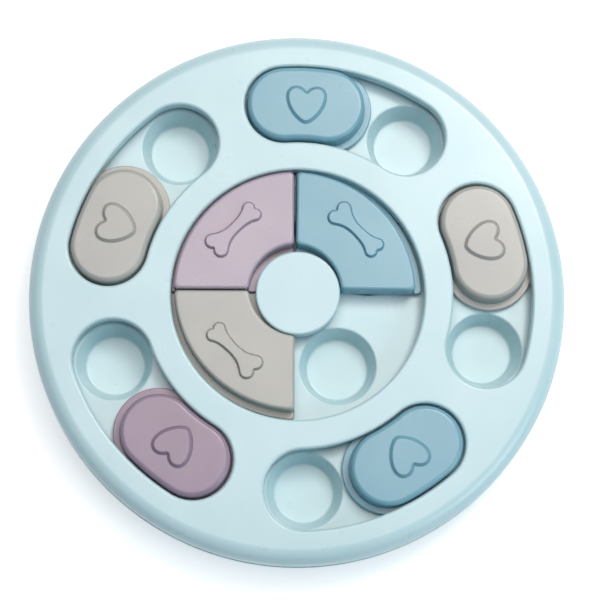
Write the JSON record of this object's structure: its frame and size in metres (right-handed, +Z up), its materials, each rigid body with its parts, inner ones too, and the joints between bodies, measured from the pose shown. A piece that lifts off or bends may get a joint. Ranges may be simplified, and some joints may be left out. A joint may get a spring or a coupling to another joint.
{
  "type": "dog puzzle feeder toy",
  "caption": "Round slow-feeder puzzle: a tray with food cups under a slotted cover, arc-shaped heart sliders and a ring of quarter-ring bone sliders.",
  "frame": {"origin": "on the table under the feet, on the axis of the disc", "axes": "+Z up along the disc's axis, +X to the right and +Y to the far side when the first slot is at the top, 75 degrees from +X"},
  "size_m": [0.245, 0.245, 0.0339],
  "materials": {
    "shell": "satin moulded plastic, pale ice blue",
    "slider_blue": "satin moulded plastic, grey-blue",
    "slider_tan": "satin moulded plastic, warm grey",
    "slider_mauve": "satin moulded plastic, mauve",
    "slider_pink": "satin moulded plastic, dusty pink",
    "foot_rubber": "matt soft rubber",
    "screw_steel": "zinc-plated steel"
  },
  "bodies": {
    "housing": {"base_tray": "shell", "top_cover": "shell", "centre_cap": "shell", "rubber_foot_1": "foot_rubber", "rubber_foot_2": "foot_rubber", "rubber_foot_3": "foot_rubber", "rubber_foot_4": "foot_rubber", "rubber_foot_5": "foot_rubber", "cover_screws": "screw_steel", "cap_screw": "screw_steel"},
    "heart_1": {"heart_slider_1": "slider_blue"},
    "heart_2": {"heart_slider_2": "slider_tan"},
    "heart_3": {"heart_slider_3": "slider_mauve"},
    "heart_4": {"heart_slider_4": "slider_blue"},
    "heart_5": {"heart_slider_5": "slider_tan"},
    "bone_1": {"bone_slider_1": "slider_blue"},
    "bone_2": {"bone_slider_2": "slider_pink"},
    "bone_3": {"bone_slider_3": "slider_tan"}
  },
  "joints": [
    {"name": "heart_1_slide", "type": "hinge", "parent": "housing", "child": "heart_1", "pos_m": [0, 0, 0], "axis": [0, 0, 1], "range_deg": [-25.1, 0]},
    {"name": "heart_2_slide", "type": "hinge", "parent": "housing", "child": "heart_2", "pos_m": [0, 0, 0], "axis": [0, 0, 1], "range_deg": [-25.1, 0]},
    {"name": "heart_3_slide", "type": "hinge", "parent": "housing", "child": "heart_3", "pos_m": [0, 0, 0], "axis": [0, 0, 1], "range_deg": [-25.1, 0]},
    {"name": "heart_4_slide", "type": "hinge", "parent": "housing", "child": "heart_4", "pos_m": [0, 0, 0], "axis": [0, 0, 1], "range_deg": [-25.1, 0]},
    {"name": "heart_5_slide", "type": "hinge", "parent": "housing", "child": "heart_5", "pos_m": [0, 0, 0], "axis": [0, 0, 1], "range_deg": [-25.1, 0]},
    {"name": "bone_1_turn", "type": "hinge", "parent": "housing", "child": "bone_1", "pos_m": [0, 0, 0], "axis": [0, 0, 1], "continuous": true},
    {"name": "bone_2_turn", "type": "hinge", "parent": "housing", "child": "bone_2", "pos_m": [0, 0, 0], "axis": [0, 0, 1], "continuous": true},
    {"name": "bone_3_turn", "type": "hinge", "parent": "housing", "child": "bone_3", "pos_m": [0, 0, 0], "axis": [0, 0, 1], "continuous": true}
  ],
  "couplings": [
    {"joint": "bone_2_turn", "follows": "bone_1_turn", "ratio": 1},
    {"joint": "bone_3_turn", "follows": "bone_1_turn", "ratio": 1}
  ]
}
